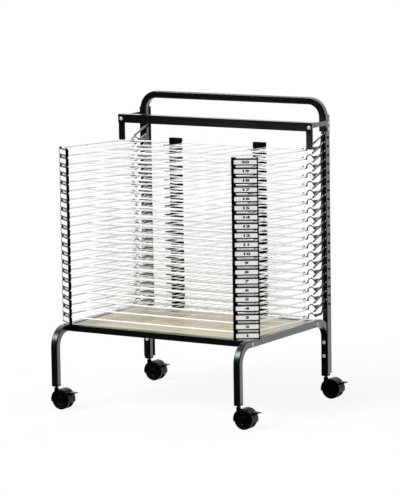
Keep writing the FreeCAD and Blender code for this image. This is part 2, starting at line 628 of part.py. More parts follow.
# ---- casters, built about their stem axis (X = 0, Y = 0), trailing towards +X ------------------------
def caster_wheel(side):
    """One of the twin wheels: rounded tread and a dished outer face."""
    near = side * WHEEL_INSIDE
    wheel = cylinder(V(CASTER_TRAIL, near, WHEEL_RADIUS), Y_AXIS * side, WHEEL_WIDTH, WHEEL_RADIUS)
    outer_y = side * (WHEEL_INSIDE + WHEEL_WIDTH)
    rims = [e for e in wheel.Edges if len(e.Vertexes) == 1]
    wheel = wheel.makeFillet(WHEEL_EDGE, rims)
    dish = Part.makeCone(WHEEL_HUB_RADIUS, WHEEL_HUB_RADIUS + 3.5, 3.5,
                         V(CASTER_TRAIL, outer_y - side * 3.5, WHEEL_RADIUS), Y_AXIS * side)
    hub = Part.makeCone(11, 8, 3, V(CASTER_TRAIL, outer_y - side * 3.5, WHEEL_RADIUS), Y_AXIS * side)
    bore = cylinder(V(CASTER_TRAIL, -60, WHEEL_RADIUS), Y_AXIS, 120, AXLE_HOLE_RADIUS)
    return wheel.cut(dish).fuse(hub).cut(bore)


def hood():
    """Moulded cover over the wheels: a curved shell, wider than both of them."""
    centre = V(CASTER_TRAIL, 0, WHEEL_RADIUS)
    start = math.radians(HOOD_FROM_ANGLE)
    outward = V(math.cos(start), 0, math.sin(start))
    half = Y_AXIS * HOOD_HALF_WIDTH
    near = centre + outward * HOOD_INNER_RADIUS
    far = centre + outward * (HOOD_INNER_RADIUS + HOOD_THICKNESS)
    section = Part.Face(Part.makePolygon([near - half, far - half, far + half, near + half, near - half]))
    return section.revolve(centre, -Y_AXIS, HOOD_TO_ANGLE - HOOD_FROM_ANGLE)


def caster_web():
    """Central plate between the wheels, from the stem boss to the axle."""
    outer = HOOD_INNER_RADIUS + HOOD_THICKNESS
    disc = cylinder(V(CASTER_TRAIL, -WEB_HALF_WIDTH, WHEEL_RADIUS), Y_AXIS, 2 * WEB_HALF_WIDTH, outer)
    disc = disc.cut(box(CASTER_TRAIL - 60, CASTER_TRAIL + 60, -20, 20, -20, WEB_BOTTOM_Z))
    boss_low = WHEEL_RADIUS + 14
    boss = cylinder(V(0, 0, boss_low), Z_AXIS, BOSS_TOP_Z - boss_low, BOSS_RADIUS)
    wheel_room = cylinder(V(CASTER_TRAIL, -40, WHEEL_RADIUS), Y_AXIS, 80, WHEEL_RADIUS + 1.2)
    return disc.fuse(boss.cut(wheel_room))


def lever_direction():
    """Unit vector from the wheel centre along the brake lever."""
    angle = math.radians(LEVER_ANGLE)
    return V(math.cos(angle), 0, math.sin(angle))


def lever_pivot():
    """Middle of the brake lever's pin."""
    return V(CASTER_TRAIL, 0, WHEEL_RADIUS) + lever_direction() * LEVER_PIVOT_RADIUS


def caster_housing():
    """Housing with stem, wheel axle and lever pin."""
    body = caster_web().fuse(hood())
    pivot = lever_pivot()
    outward = lever_direction()
    square_to = V(-outward.z, 0, outward.x)
    slot = polygon_plate([pivot + outward * a + square_to * b - V(0, LEVER_SLOT_HALF, 0)
                          for a, b in ((-6, -7), (18, -12), (18, 7), (-6, 7))],
                         V(0, 2 * LEVER_SLOT_HALF, 0))
    body = body.cut(slot)
    stem = cylinder(V(0, 0, BOSS_TOP_Z - 2), Z_AXIS, STEM_TOP_Z - BOSS_TOP_Z + 2, STEM_RADIUS)
    axle_half = WHEEL_INSIDE + WHEEL_WIDTH + 0.8
    axle = cylinder(V(CASTER_TRAIL, -axle_half, WHEEL_RADIUS), Y_AXIS, 2 * axle_half, AXLE_RADIUS)
    pin = cylinder(V(pivot.x, -WEB_HALF_WIDTH, pivot.z), Y_AXIS, 2 * WEB_HALF_WIDTH, LEVER_PIN_RADIUS)
    return [body.multiFuse([stem, axle, pin]).removeSplitter()]


def brake_lever():
    """Brake lever: shank in the housing's slot, wide blade outside the hood."""
    pivot = lever_pivot()
    centre = V(CASTER_TRAIL, 0, WHEEL_RADIUS)
    outward = lever_direction()
    square_to = V(-outward.z, 0, outward.x)
    reach = LEVER_BLADE_START + 2 - LEVER_PIVOT_RADIUS
    shank = polygon_plate([pivot + outward * a + square_to * b - V(0, LEVER_HALF_THICKNESS, 0)
                           for a, b in ((0, -3.4), (reach, -3.0), (reach, 1.6), (0, 3.4))],
                          V(0, 2 * LEVER_HALF_THICKNESS, 0))
    eye = cylinder(V(pivot.x, -LEVER_HALF_THICKNESS, pivot.z), Y_AXIS, 2 * LEVER_HALF_THICKNESS, 4.0)
    start = centre + outward * LEVER_BLADE_START - V(0, LEVER_BLADE_HALF_WIDTH, 0)
    tip = start + V(LEVER_BLADE_LENGTH, 0, LEVER_BLADE_RISE)
    blade = polygon_plate([start + V(2, 0, -LEVER_BLADE_ROOT / 2), start + V(7, 0, -LEVER_BLADE_ROOT / 2),
                           tip - V(0, 0, LEVER_BLADE_TIP), tip, start + V(0, 0, LEVER_BLADE_ROOT / 2),
                           start],
                          V(0, 2 * LEVER_BLADE_HALF_WIDTH, 0))
    lever = shank.multiFuse([eye, blade]).removeSplitter()
    return [lever.cut(cylinder(V(pivot.x, -20, pivot.z), Y_AXIS, 40, LEVER_HOLE_RADIUS))]


def caster_corners():
    """Name and stem position of each caster."""
    return [("front_left", -LEG_X, FRONT_LEG_Y), ("front_right", LEG_X, FRONT_LEG_Y),
            ("rear_left", -LEG_X, REAR_LEG_Y), ("rear_right", LEG_X, REAR_LEG_Y)]


# ---- whole rack --------------------------------------------------------------------------------------
def all_nodes():
    """Every node's solids by name, in the building position."""
    nodes = {
        "base_frame": base_frame(),
        "tray_board": tray_board(),
        "leg_plugs": leg_plugs(),
        "rear_uprights": rear_uprights(),
        "push_handle": push_handle(),
        "top_rail": top_rail(),
        "frame_fasteners": frame_fasteners(),
        "shelf_springs": shelf_springs(),
    }
    grid = wire_grid()
    fittings = [shelf_arm(grid), card_holder(grid)]
    fittings += [mirrored(piece) for piece in fittings]
    fittings += [rear_stop(x, grid) for x in STOP_XS]
    for number in range(1, SHELF_COUNT + 1):
        nodes["shelf_%02d" % number] = [placed_shelf(wire, number) for wire in grid]
        nodes["shelf_fittings_%02d" % number] = [placed_shelf(piece, number) for piece in fittings]
    caster = {"housing": caster_housing(), "wheels": [caster_wheel(-1), caster_wheel(1)],
              "brake": brake_lever()}
    for corner, x, y in caster_corners():
        for piece, solids in caster.items():
            nodes["%s_%s" % (corner, piece)] = [moved(solid, x, y, 0) for solid in solids]
    return nodes


def footprint_centre(nodes):
    """Middle of the whole rack's bounding box, seen from above."""
    bounds = Part.makeCompound([solid for solids in nodes.values() for solid in solids]).BoundBox
    return (bounds.XMin + bounds.XMax) / 2, (bounds.YMin + bounds.YMax) / 2


def write_nodes(nodes):
    """Centre the rack on its footprint and write one STEP file per node."""
    os.makedirs("parts", exist_ok=True)
    centre_x, centre_y = footprint_centre(nodes)
    print("centre shift %.4f %.4f" % (centre_x, centre_y))
    for name, solids in nodes.items():
        compound = Part.makeCompound([moved(solid, -centre_x, -centre_y, 0) for solid in solids])
        volume = compound.Volume
        if not compound.isValid() or volume <= 0:
            raise ValueError("bad solid in %s" % name)
        compound.exportStep("parts/%s.step" % name)
        print("%-22s %3d solids %10.0f mm3" % (name, len(compound.Solids), volume))


write_nodes(all_nodes())
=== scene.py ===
import json
import math
from functools import partial

import bpy
from bpy.props import FloatProperty, FloatVectorProperty, IntProperty, PointerProperty
from mathutils import Matrix, Quaternion, Vector


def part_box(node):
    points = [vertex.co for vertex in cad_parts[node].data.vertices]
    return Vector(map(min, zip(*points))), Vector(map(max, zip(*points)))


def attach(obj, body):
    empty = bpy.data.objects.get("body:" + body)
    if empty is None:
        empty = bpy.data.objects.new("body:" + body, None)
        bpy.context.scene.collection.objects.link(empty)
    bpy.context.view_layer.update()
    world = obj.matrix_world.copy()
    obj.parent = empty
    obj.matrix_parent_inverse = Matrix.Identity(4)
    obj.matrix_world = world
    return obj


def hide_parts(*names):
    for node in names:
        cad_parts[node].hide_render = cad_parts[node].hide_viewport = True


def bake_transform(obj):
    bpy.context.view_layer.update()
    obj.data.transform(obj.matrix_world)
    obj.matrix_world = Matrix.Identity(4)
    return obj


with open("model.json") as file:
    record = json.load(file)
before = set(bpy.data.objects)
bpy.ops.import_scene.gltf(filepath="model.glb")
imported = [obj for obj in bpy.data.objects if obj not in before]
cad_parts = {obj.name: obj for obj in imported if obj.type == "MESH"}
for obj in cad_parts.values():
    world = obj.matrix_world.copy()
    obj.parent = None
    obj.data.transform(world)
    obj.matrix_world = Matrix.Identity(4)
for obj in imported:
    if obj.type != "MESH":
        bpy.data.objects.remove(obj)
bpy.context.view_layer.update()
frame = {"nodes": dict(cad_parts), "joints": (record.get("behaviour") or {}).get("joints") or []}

bl_info = {
    "name": "Art drying rack",
    "version": (1, 0, 0),
    "blender": (4, 5, 0),
    "location": "View3D > Sidebar > Drying rack",
    "description": "Dresses the drying rack's frame with its mouldings, springs, casters and finishes",
    "category": "Object",
}

MM = 0.001
NODES = frame["nodes"]
SHELF_JOINTS = sorted((j for j in frame["joints"] if j["name"].startswith("shelf_lift")),
                      key=lambda j: j["pos_m"][2])
CORNERS = ("front_left", "front_right", "rear_left", "rear_right")
MIDDLE_X = sum(corner[0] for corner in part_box("push_handle")) / 2


def to_linear(code):
    """Linear colour of an sRGB hex value such as #1A2B3C."""
    values = [int(code[i:i + 2], 16) / 255 for i in (1, 3, 5)]
    return [v / 12.92 if v <= 0.04045 else ((v + 0.055) / 1.055) ** 2.4 for v in values]


def colour(name, code):
    """Colour property with a hex default."""
    return FloatVectorProperty(name=name, description=name + " of the rack", subtype="COLOR", size=3,
                               min=0, max=1, default=to_linear(code))


def length(name, millimetres, description):
    """Length property whose default is given in millimetres."""
    return FloatProperty(name=name, description=description, subtype="DISTANCE", unit="LENGTH",
                         default=millimetres * MM, precision=4)


# ---- what a user would change ----
class RackColours(bpy.types.PropertyGroup):
    """Colours of the finishes, as sRGB."""
    powder_coat: colour("Powder coat", "#030303")
    plywood: colour("Plywood", "#E4DDC0")
    plywood_grain: colour("Plywood grain", "#D6CCA8")
    wire_coating: colour("Wire coating", "#F4F5F3")
    moulding: colour("Moulded plastic", "#020202")
    # Grey-green of the arm plates is a painted reflection: the black steel's side lit by the white backdrop.
    arm_steel: colour("Arm steel", "#7F8B88")
    black_oxide: colour("Black oxide", "#030303")
    zinc: colour("Zinc plating", "#EBEAE4")
    tread: colour("Wheel tread", "#020202")
    card: colour("Card", "#EDF0EC")
    ink: colour("Ink", "#111213")
    floor: colour("Floor", "#FFFFFF")


class ShelfSizes(bpy.types.PropertyGroup):
    """Sizes of the shelf fittings, about the shelf's pivot."""
    tilt: FloatProperty(name="Tilt", description="Slope of a resting shelf to the rear", subtype="ANGLE",
                        unit="ROTATION", default=math.radians(2.0))
    wire_drop: length("Wire drop", 35.0, "Wire plane below the pivot")
    front: length("Front wire", -554.0, "Front wire from the pivot")
    rear: length("Rear wire", -113.0, "Rear wire from the pivot")
    corner_x: length("Front corner", 328.0, "Front wire's end from the middle")
    corner_angle: FloatProperty(name="Corner angle", description="Turn of a card holder from the front",
                                subtype="ANGLE", unit="ROTATION", default=math.radians(40.0))
    rod_place: length("Rod place", 357.75, "Bent rod of an arm from the middle")
    rod_radius: length("Rod radius", 1.9, "Radius of an arm's bent rod")
    plate_place: length("Plate place", 356.5, "Inner face of an arm's plate from the middle")
    plate_thickness: length("Plate thickness", 2.5, "Thickness of an arm's plate")


class HolderSizes(bpy.types.PropertyGroup):
    """Sizes of a corner card holder."""
    start: length("Start", -2.0, "Holder's start along the corner wire")
    length: length("Length", 90.0, "Holder's length")
    height: length("Height", 30.35, "Height of its posts")
    top: length("Top", 2.85, "Post top above the wire plane")
    post_width: length("Post width", 14.0, "Width of the inner post")
    end_width: length("End post width", 4.5, "Width of the outer post")
    post_depth: length("Post depth", 9.4, "Depth of both posts")
    plate_front: length("Plate front", 6.4, "Front of the card plate before the wire")
    plate_thickness: length("Plate thickness", 3.6, "Thickness of the card plate")
    plate_height: length("Plate height", 23.4, "Height of the card plate")
    plate_drop: length("Plate drop", 4.3, "Plate top below the post tops")
    window_height: length("Window height", 15.0, "Visible height of the card")
    window_length: length("Window length", 77.0, "Visible length of the card")
    window_start: length("Window start", 8.5, "Window from the holder's inner end")
    ear: length("Ear length", 8.0, "Length of the curved ears beside the slots")
    outer_back: length("Outer post back", 2.4, "Front of the outer post behind the inner post's")
    recess: length("Recess", 1.3, "Depth of the card's recess")
    digit_size: length("Digit size", 11.5, "Type size of the numbers")
    digit_weight: length("Digit weight", 0.6, "Thickening of the digits' strokes")
    digit_stretch: FloatProperty(name="Digit stretch", description="Width of the digits to their usual width",
                                 default=2.3)


class StopSizes(bpy.types.PropertyGroup):
    """Sizes of a rear stop."""
    left_place: length("Left place", -168.5, "Left stop's middle from the rack's middle")
    right_place: length("Right place", 174.5, "Right stop's middle from the rack's middle")
    width: length("Width", 51.0, "Width of the block")
    depth: length("Depth", 9.0, "Depth of the block")
    below: length("Below", 3.5, "Block below the wire plane")
    above: length("Above", 17.5, "Block above the wire plane")
    lobe_below: length("Lobe below", 6.5, "Underside of the block's right part below the wire plane")
    lobe_width: length("Lobe width", 27.0, "Width of the block's right part")
    foot_below: length("Foot below", 9.5, "Foot's underside below the wire plane")
    foot_width: length("Foot width", 23.0, "Width of the foot")
    foot_length: length("Foot length", 38.0, "Length of the foot")
    foot_thickness: length("Foot thickness", 3.0, "Thickness of the foot")


class SpringSizes(bpy.types.PropertyGroup):
    """Sizes of a shelf spring."""
    offset: length("Offset", 364.2, "Spring's axis from the rack's middle")
    low_forward: length("Low end forward", 84.5, "Low end in front of the pivot")
    low_below: length("Low end below", 19.3, "Low end below the pivot")
    high_behind: length("High end behind", 4.5, "High end behind the pivot")
    high_above: length("High end above", 13.0, "High end above the pivot")
    radius: length("Radius", 3.8, "Outside radius of the coils")
    wire: length("Wire", 0.62, "Radius of the spring wire")
    hook: length("Hook", 7.0, "Length of the hook at each end")
    grip: length("Grip", 9.2, "Reach of the low hook over the arm's rod")
    turns: IntProperty(name="Turns", description="Turns of the close-wound coil", default=50, min=5)


class CasterSizes(bpy.types.PropertyGroup):
    """Sizes of a caster."""
    wheel_radius: length("Wheel radius", 34.5, "Radius of the wheels")
    wheel_width: length("Wheel width", 13.0, "Width of one wheel")
    wheel_inside: length("Wheel inside", 6.6, "Inner face of a wheel from the middle plane")


class StageSettings(bpy.types.PropertyGroup):
    """Camera, key light, surroundings and floor."""
    camera_place: FloatVectorProperty(name="Camera place", description="Place of the camera", size=3,
                                      subtype="TRANSLATION", default=(5.29343, -8.4764, 2.0141))
    camera_forward: FloatVectorProperty(name="Camera direction", description="Direction of view", size=3,
                                        subtype="XYZ", default=(-0.52292, 0.83989, -0.14540))
    camera_roll: FloatProperty(name="Camera roll", description="Roll about the view direction",
                               subtype="ANGLE", unit="ROTATION", default=math.radians(-0.9))
    focal_length: FloatProperty(name="Focal length", description="Lens for a 36 mm high frame, in mm",
                                default=212.43)
    key_strength: FloatProperty(name="Key light", description="Strength of the key light", default=2.1)
    key_direction: FloatVectorProperty(name="Key direction", description="Way in which the key shines",
                                       size=3, subtype="XYZ", default=(0.35, 0.62, -0.70))
    key_angle: FloatProperty(name="Key width", description="Angle that the key light fills",
                             subtype="ANGLE", unit="ROTATION", default=math.radians(30))
    fill_strength: FloatProperty(name="Fill light", description="Strength of the surroundings", default=0.62)
    backdrop_strength: FloatProperty(name="Backdrop", description="Brightness of the sweep in gloss",
                                     default=1.0)
    sweep_direction: FloatVectorProperty(name="Sweep direction", description="Way from the rack to the sweep",
                                         size=3, subtype="XYZ", default=(-0.15, 0.97, 0.2))
    floor_size: FloatProperty(name="Floor size", description="Side of the floor", subtype="DISTANCE",
                              unit="LENGTH", default=160.0)


# ---- nodes and materials ----
# A noise scale is in waves to the metre, so 250 gives features about 4 mm across.
def add_node(tree, kind, inputs=None, **settings):
    """A node with its settings, its values and its links; a node given as a value is its first output."""
    made = tree.nodes.new("ShaderNode" + kind)
    for key, value in settings.items():
        setattr(made, key, value)
    for key, value in (inputs or {}).items():
        if isinstance(value, bpy.types.Node):
            value = value.outputs[0]
        if isinstance(value, bpy.types.NodeSocket):
            tree.links.new(value, made.inputs[key])
        else:
            made.inputs[key].default_value = value
    return made


def new_material(name):
    """Empty material: itself, the function that adds its nodes, and the object's coordinates."""
    material = bpy.data.materials.new(name)
    material.use_nodes = True
    material.node_tree.nodes.clear()
    add = partial(add_node, material.node_tree)
    return material, add, add("TexCoord").outputs["Object"]


def rgba(value):
    """Colour property as four numbers."""
    return (*value, 1.0)


def powder_coated_steel():
    """Polyester powder coat on mild steel, baked: satin black with a faint orange peel."""
    material, add, place = new_material("powder_coated_steel")
    tone = rgba(bpy.context.scene.rack_colours.powder_coat)
    # Orange peel is about 1 mm across on the real coat; it is drawn at 4 mm so that it shows.
    peel = add("TexNoise", {"Vector": place, "Scale": 250.0, "Detail": 2.0})
    cloud = add("TexNoise", {"Vector": place, "Scale": 18.0, "Detail": 3.0})
    lighter = rgba([c * 1.6 + 0.0002 for c in tone[:3]])
    shade = add("Mix", {"Factor": cloud, 6: tone, 7: lighter}, data_type="RGBA")
    rough = add("MapRange", {"Value": cloud, "To Min": 0.24, "To Max": 0.34})
    bump = add("Bump", {"Height": peel, "Strength": 0.08, "Distance": 0.0005})
    surface = add("BsdfPrincipled", {
        "Base Color": shade.outputs[2], "Roughness": rough,
        "Normal": bump, "IOR": 1.6, "Specular Tint": (0.8, 1.0, 0.9, 1.0),
        "Coat Weight": 1.0, "Coat Roughness": 0.24, "Coat IOR": 1.5, "Coat Tint": (0.92, 1.0, 0.97, 1.0)})
    add("OutputMaterial", {"Surface": surface})
    return material


def birch_plywood():
    """Rotary-cut birch plywood, sanded and sealed: long pale grain, layered edges."""
    material, add, place = new_material("birch_plywood")
    colours = bpy.context.scene.rack_colours
    grain_tone = rgba(colours.plywood_grain)
    along = add("Mapping", {"Vector": place, "Scale": (2.2, 34.0, 34.0)})
    figure = add("TexNoise", {"Vector": along, "Scale": 1.0, "Detail": 6.0,
                                        "Distortion": 1.2})
    fine = add("Mapping", {"Vector": place, "Scale": (18.0, 900.0, 900.0)})
    pores = add("TexNoise", {"Vector": fine, "Scale": 1.0, "Detail": 3.0})
    grain = add("ValToRGB", {"Fac": figure})
    stops = ((0.3, grain_tone), (0.62, rgba(colours.plywood)))
    for stop, (position, tone) in zip(grain.color_ramp.elements, stops):
        stop.position, stop.color = position, tone
    # Plies are 1.5 mm thick, so an edge shows six layers across the 9 mm board.
    split = add("SeparateXYZ", {"Vector": place})
    ply = add("Math", {0: split.outputs["Z"], 1: 2094.0}, operation="MULTIPLY")
    layer = add("Math", {0: ply}, operation="SINE")
    normal = add("NewGeometry").outputs["Normal"]
    facing = add("SeparateXYZ", {"Vector": normal})
    upward = add("Math", {0: facing.outputs["Z"]}, operation="ABSOLUTE")
    edge = add("Math", {0: 0.5, 1: upward}, operation="GREATER_THAN")
    dark = add("MapRange", {"Value": layer, "From Min": -0.2, "From Max": 0.4,
                                      "To Min": 0.0, "To Max": 0.45})
    amount = add("Math", {0: dark, 1: edge}, operation="MULTIPLY")
    pore_tone = add("MapRange", {"Value": pores, "From Min": 0.35,
                                           "From Max": 0.7, "To Min": 0.0, "To Max": 0.10})
    with_pores = add("Mix", {"Factor": pore_tone, 6: grain,
                                       7: grain_tone}, data_type="RGBA")
    shade = add("Mix", {"Factor": amount, 6: with_pores.outputs[2],
                                  7: rgba([c * 0.5 for c in colours.plywood_grain])}, data_type="RGBA")
    bump = add("Bump", {"Height": pores, "Strength": 0.25, "Distance": 0.0003})
    surface = add("BsdfPrincipled", {
        "Base Color": shade.outputs[2], "Roughness": 0.5, "Normal": bump, "IOR": 1.5,
        "Coat Weight": 0.15, "Coat Roughness": 0.3})
    add("OutputMaterial", {"Surface": surface})
    return material


def dipped_pvc_coating():
    """PVC plastisol, dip-coated on steel wire: soft white gloss with slow thickness waves."""
    material, add, place = new_material("dipped_pvc_coating")
    tone = rgba(bpy.context.scene.rack_colours.wire_coating)
    waves = add("TexNoise", {"Vector": place, "Scale": 60.0, "Detail": 2.0})
    warm = rgba([c * f for c, f in zip(tone[:3], (0.98, 0.985, 0.97))])
    shade = add("Mix", {"Factor": waves, 6: tone, 7: warm}, data_type="RGBA")
    bump = add("Bump", {"Height": waves, "Strength": 0.3, "Distance": 0.0006})
    surface = add("BsdfPrincipled", {
        "Base Color": shade.outputs[2], "Roughness": 0.32, "Normal": bump, "IOR": 1.53,
        "Subsurface Weight": 0.05, "Subsurface Radius": (0.002, 0.002, 0.002)})
    add("OutputMaterial", {"Surface": surface})
    return material


def moulded_polypropylene(name="moulded_polypropylene", low=0.26, high=0.36):
    """Injection-moulded black polypropylene: semi-matt, with the spark-eroded grain of its mould."""
    material, add, place = new_material(name)
    tone = rgba(bpy.context.scene.rack_colours.moulding)
    # The mould's grain is 0.2 mm; it is drawn at 0.8 mm so that it shows.
    grain = add("TexNoise", {"Vector": place, "Scale": 1250.0, "Detail": 1.0})
    flow = add("TexNoise", {"Vector": place, "Scale": 35.0, "Detail": 3.0})
    rough = add("MapRange", {"Value": flow, "To Min": low, "To Max": high})
    lighter = rgba([c * 1.5 + 0.0002 for c in tone[:3]])
    shade = add("Mix", {"Factor": flow, 6: tone, 7: lighter}, data_type="RGBA")
    bump = add("Bump", {"Height": grain, "Strength": 0.15, "Distance": 0.0003})
    surface = add("BsdfPrincipled", {
        "Base Color": shade.outputs[2], "Roughness": rough,
        "Normal": bump, "IOR": 1.49, "Specular IOR Level": 0.18})
    add("OutputMaterial", {"Surface": surface})
    return material


def rolled_steel(name, tone, metallic):
    """Cold-rolled steel with fine streaks along its length."""
    material, add, place = new_material(name)
    rolled = add("Mapping", {"Vector": place, "Scale": (900.0, 60.0, 900.0)})
    streak = add("TexNoise", {"Vector": rolled, "Scale": 1.0, "Detail": 3.0})
    shade = add("Mix", {"Factor": streak, 6: rgba(tone),
                                  7: rgba([c * 0.7 for c in tone])}, data_type="RGBA")
    rough = add("MapRange", {"Value": streak, "To Min": 0.34, "To Max": 0.5})
    surface = add("BsdfPrincipled", {
        "Base Color": shade.outputs[2], "Roughness": rough, "Metallic": metallic})
    add("OutputMaterial", {"Surface": surface})
    return material


def plate_steel_painted_reflection():
    """Steel strip of the arms: dull grey-green, half metal; the grey-green is a painted reflection of the
    white backdrop on the black steel's lit side.
    """
    return rolled_steel("plate_steel_painted_reflection", bpy.context.scene.rack_colours.arm_steel, 0.45)


def blackened_steel():
    """Steel rod and strip with black oxide: nearly black, with a soft edge light."""
    return rolled_steel("blackened_steel", bpy.context.scene.rack_colours.black_oxide, 0.0)


def zinc_plated_steel(name="zinc_plated_steel", metallic=0.55):
    """Zinc electroplate with a pale passivated film: part metal, part chalky, slightly clouded."""
    material, add, place = new_material(name)
    tone = rgba(bpy.context.scene.rack_colours.zinc)
    cloud = add("TexNoise", {"Vector": place, "Scale": 140.0, "Detail": 4.0})
    darker = rgba([c * 0.72 for c in tone[:3]])
    shade = add("Mix", {"Factor": cloud, 6: tone, 7: darker}, data_type="RGBA")
    rough = add("MapRange", {"Value": cloud, "To Min": 0.22, "To Max": 0.42})
    surface = add("BsdfPrincipled", {
        "Base Color": shade.outputs[2], "Roughness": rough, "Metallic": metallic})
    add("OutputMaterial", {"Surface": surface})
    return material


def bright_zinc_plate():
    """The same plating on the screws, with a thicker chalky film."""
    return zinc_plated_steel("bright_zinc_plate", 0.2)


def moulded_nylon():
    """Black nylon of the casters: moulded like the polypropylene, with a little more gloss."""
    return moulded_polypropylene("moulded_nylon", 0.24, 0.34)


def polyurethane_tread():
    """Cast polyurethane tyre: dull black with fine scuffs round the tread."""
    material, add, place = new_material("polyurethane_tread")
    tone = rgba(bpy.context.scene.rack_colours.tread)
    scuff = add("TexNoise", {"Vector": place, "Scale": 220.0, "Detail": 5.0})
    dusty = rgba([c * 2.4 + 0.0008 for c in tone[:3]])
    amount = add("MapRange", {"Value": scuff, "From Min": 0.5, "From Max": 0.75,
                                        "To Min": 0.0, "To Max": 0.5})
    shade = add("Mix", {"Factor": amount, 6: tone, 7: dusty}, data_type="RGBA")
    bump = add("Bump", {"Height": scuff, "Strength": 0.2, "Distance": 0.0004})
    surface = add("BsdfPrincipled", {
        "Base Color": shade.outputs[2], "Roughness": 0.42, "Normal": bump, "IOR": 1.5,
        "Specular IOR Level": 0.2})
    add("OutputMaterial", {"Surface": surface})
    return material


def index_card():
    """Laminated 200 g card: white under a clear gloss film, with a faint fibre fleck."""
    material, add, place = new_material("index_card")
    tone = rgba(bpy.context.scene.rack_colours.card)
    fibre = add("TexNoise", {"Vector": place, "Scale": 700.0, "Detail": 3.0})
    darker = rgba([c * 0.94 for c in tone[:3]])
    shade = add("Mix", {"Factor": fibre, 6: tone, 7: darker}, data_type="RGBA")
    surface = add("BsdfPrincipled", {
        "Base Color": shade.outputs[2], "Roughness": 0.6, "IOR": 1.5, "Coat Weight": 1.0,
        "Coat Roughness": 0.12})
    add("OutputMaterial", {"Surface": surface})
    return material


def printing_ink():
    """Black offset ink on card: nearly matt, a little uneven."""
    material, add, place = new_material("printing_ink")
    tone = rgba(bpy.context.scene.rack_colours.ink)
    patch = add("TexNoise", {"Vector": place, "Scale": 900.0, "Detail": 2.0})
    rough = add("MapRange", {"Value": patch, "To Min": 0.5, "To Max": 0.75})
    surface = add("BsdfPrincipled", {"Base Color": tone, "Roughness": rough})
    add("OutputMaterial", {"Surface": surface})
    return material


def finish(maker):
    """The material named for its function, made on first use."""
    return bpy.data.materials.get(maker.__name__) or maker()


def give_finish(node_name, material):
    """Puts a material on every slot of a carried-over node."""
    for slot in NODES[node_name].material_slots:
        slot.material = material


# ---- modelling helpers ----
def deselect():
    """Leaves object mode with nothing selected."""
    if bpy.context.mode != "OBJECT":
        bpy.ops.object.mode_set(mode="OBJECT")
    bpy.ops.object.select_all(action="DESELECT")


def pick(obj):
    """Selects one object alone and makes it active."""
    deselect()
    obj.select_set(True)
    bpy.context.view_layer.objects.active = obj


def block(name, low, high, bevel=0.0, segments=2):
    """Box between two corners in millimetres, its edges bevelled."""
    deselect()
    size = [b - a for a, b in zip(low, high)]
    middle = [(a + b) / 2 * MM for a, b in zip(low, high)]
    bpy.ops.mesh.primitive_cube_add(size=1, location=middle, scale=[s * MM for s in size])
    made = bpy.context.object
    made.name = name
    settle(made)
    if bevel:
        round_edges(made, bevel, segments)
    return made


def settle(obj):
    """Moves an object's place, turn and scale into its mesh."""
    pick(obj)
    bpy.ops.object.transform_apply(location=True, rotation=True, scale=True)
    return obj


def modify(obj, kind, **settings):
    """Adds one modifier and applies it."""
    pick(obj)
    modifier = obj.modifiers.new(kind.title(), kind)
    for key, value in settings.items():
        setattr(modifier, key, value)
    bpy.ops.object.modifier_apply(modifier=modifier.name)
    return obj


def round_edges(obj, width, segments=2, **settings):
    """Bevels an object's real edges, by a width in millimetres."""
    return modify(obj, "BEVEL", width=width * MM, segments=segments, limit_method="ANGLE", **settings)


def join(name, parts):
    """Joins meshes into the first one."""
    deselect()
    for part in parts:
        part.select_set(True)
    bpy.context.view_layer.objects.active = parts[0]
    bpy.ops.object.join()
    parts[0].name = name
    return parts[0]


def smooth(obj, angle=40.0):
    """Smooth shading, kept sharp at the real edges."""
    pick(obj)
    bpy.ops.object.shade_smooth_by_angle(angle=math.radians(angle))
    return obj


def edit(obj, test, kind="FACE"):
    """Opens edit mode with the faces or edges that pass a test selected."""
    pick(obj)
    bpy.ops.object.mode_set(mode="EDIT")
    bpy.ops.mesh.select_mode(type=kind)
    bpy.ops.mesh.select_all(action="DESELECT")
    bpy.ops.object.mode_set(mode="OBJECT")
    for item in obj.data.polygons if kind == "FACE" else obj.data.edges:
        item.select = bool(test(item))
    bpy.ops.object.mode_set(mode="EDIT")


def outward(obj):
    """Turns a closed shape's faces outwards."""
    edit(obj, lambda face: True)
    bpy.ops.mesh.remove_doubles(threshold=1e-6)
    bpy.ops.mesh.normals_make_consistent(inside=False)
    deselect()
    return obj


def copy_of(obj, name, matrix):
    """Copy with its own mesh, moved by a matrix; a mirrored copy is turned right side out."""
    made = obj.copy()
    made.data = obj.data.copy()
    made.name = name
    bpy.context.scene.collection.objects.link(made)
    made.data.transform(matrix)
    if matrix.determinant() < 0:
        made.data.flip_normals()
    return made


def discard(*objects):
    """Deletes the model that the copies were made from."""
    for obj in objects:
        bpy.data.objects.remove(obj)


def paint(obj, material):
    """Gives an object its material."""
    obj.data.materials.clear()
    obj.data.materials.append(material)
    return obj


def shelf_matrix(number):
    """From the level shelf about its pivot to its resting place in the rack."""
    place = Vector(SHELF_JOINTS[number]["pos_m"])
    place.x = MIDDLE_X
    tilt = bpy.context.scene.shelf_sizes.tilt
    return Matrix.Translation(place) @ Matrix.Rotation(-tilt, 4, "X")


def mirror_x():
    """Mirror in the rack's middle plane, before a shelf is placed."""
    return Matrix.Scale(-1, 4, (1, 0, 0))


def bent_wire(name, points, radius, sides):
    """Round wire along points in millimetres, with smooth bends and closed ends."""
    deselect()
    bpy.ops.curve.primitive_nurbs_path_add()
    made = bpy.context.object
    curve = made.data
    curve.splines.clear()
    spline = curve.splines.new("NURBS")
    spline.points.add(len(points) - 1)
    for point, place in zip(spline.points, points):
        point.co = (*[c * MM for c in place], 1)
    spline.order_u = 3
    spline.use_endpoint_u = True
    curve.resolution_u = 6
    curve.bevel_depth = radius * MM
    curve.bevel_resolution = sides // 2 - 2
    curve.use_fill_caps = True
    pick(made)
    bpy.ops.object.convert(target="MESH")
    made.name = name
    return outward(made)


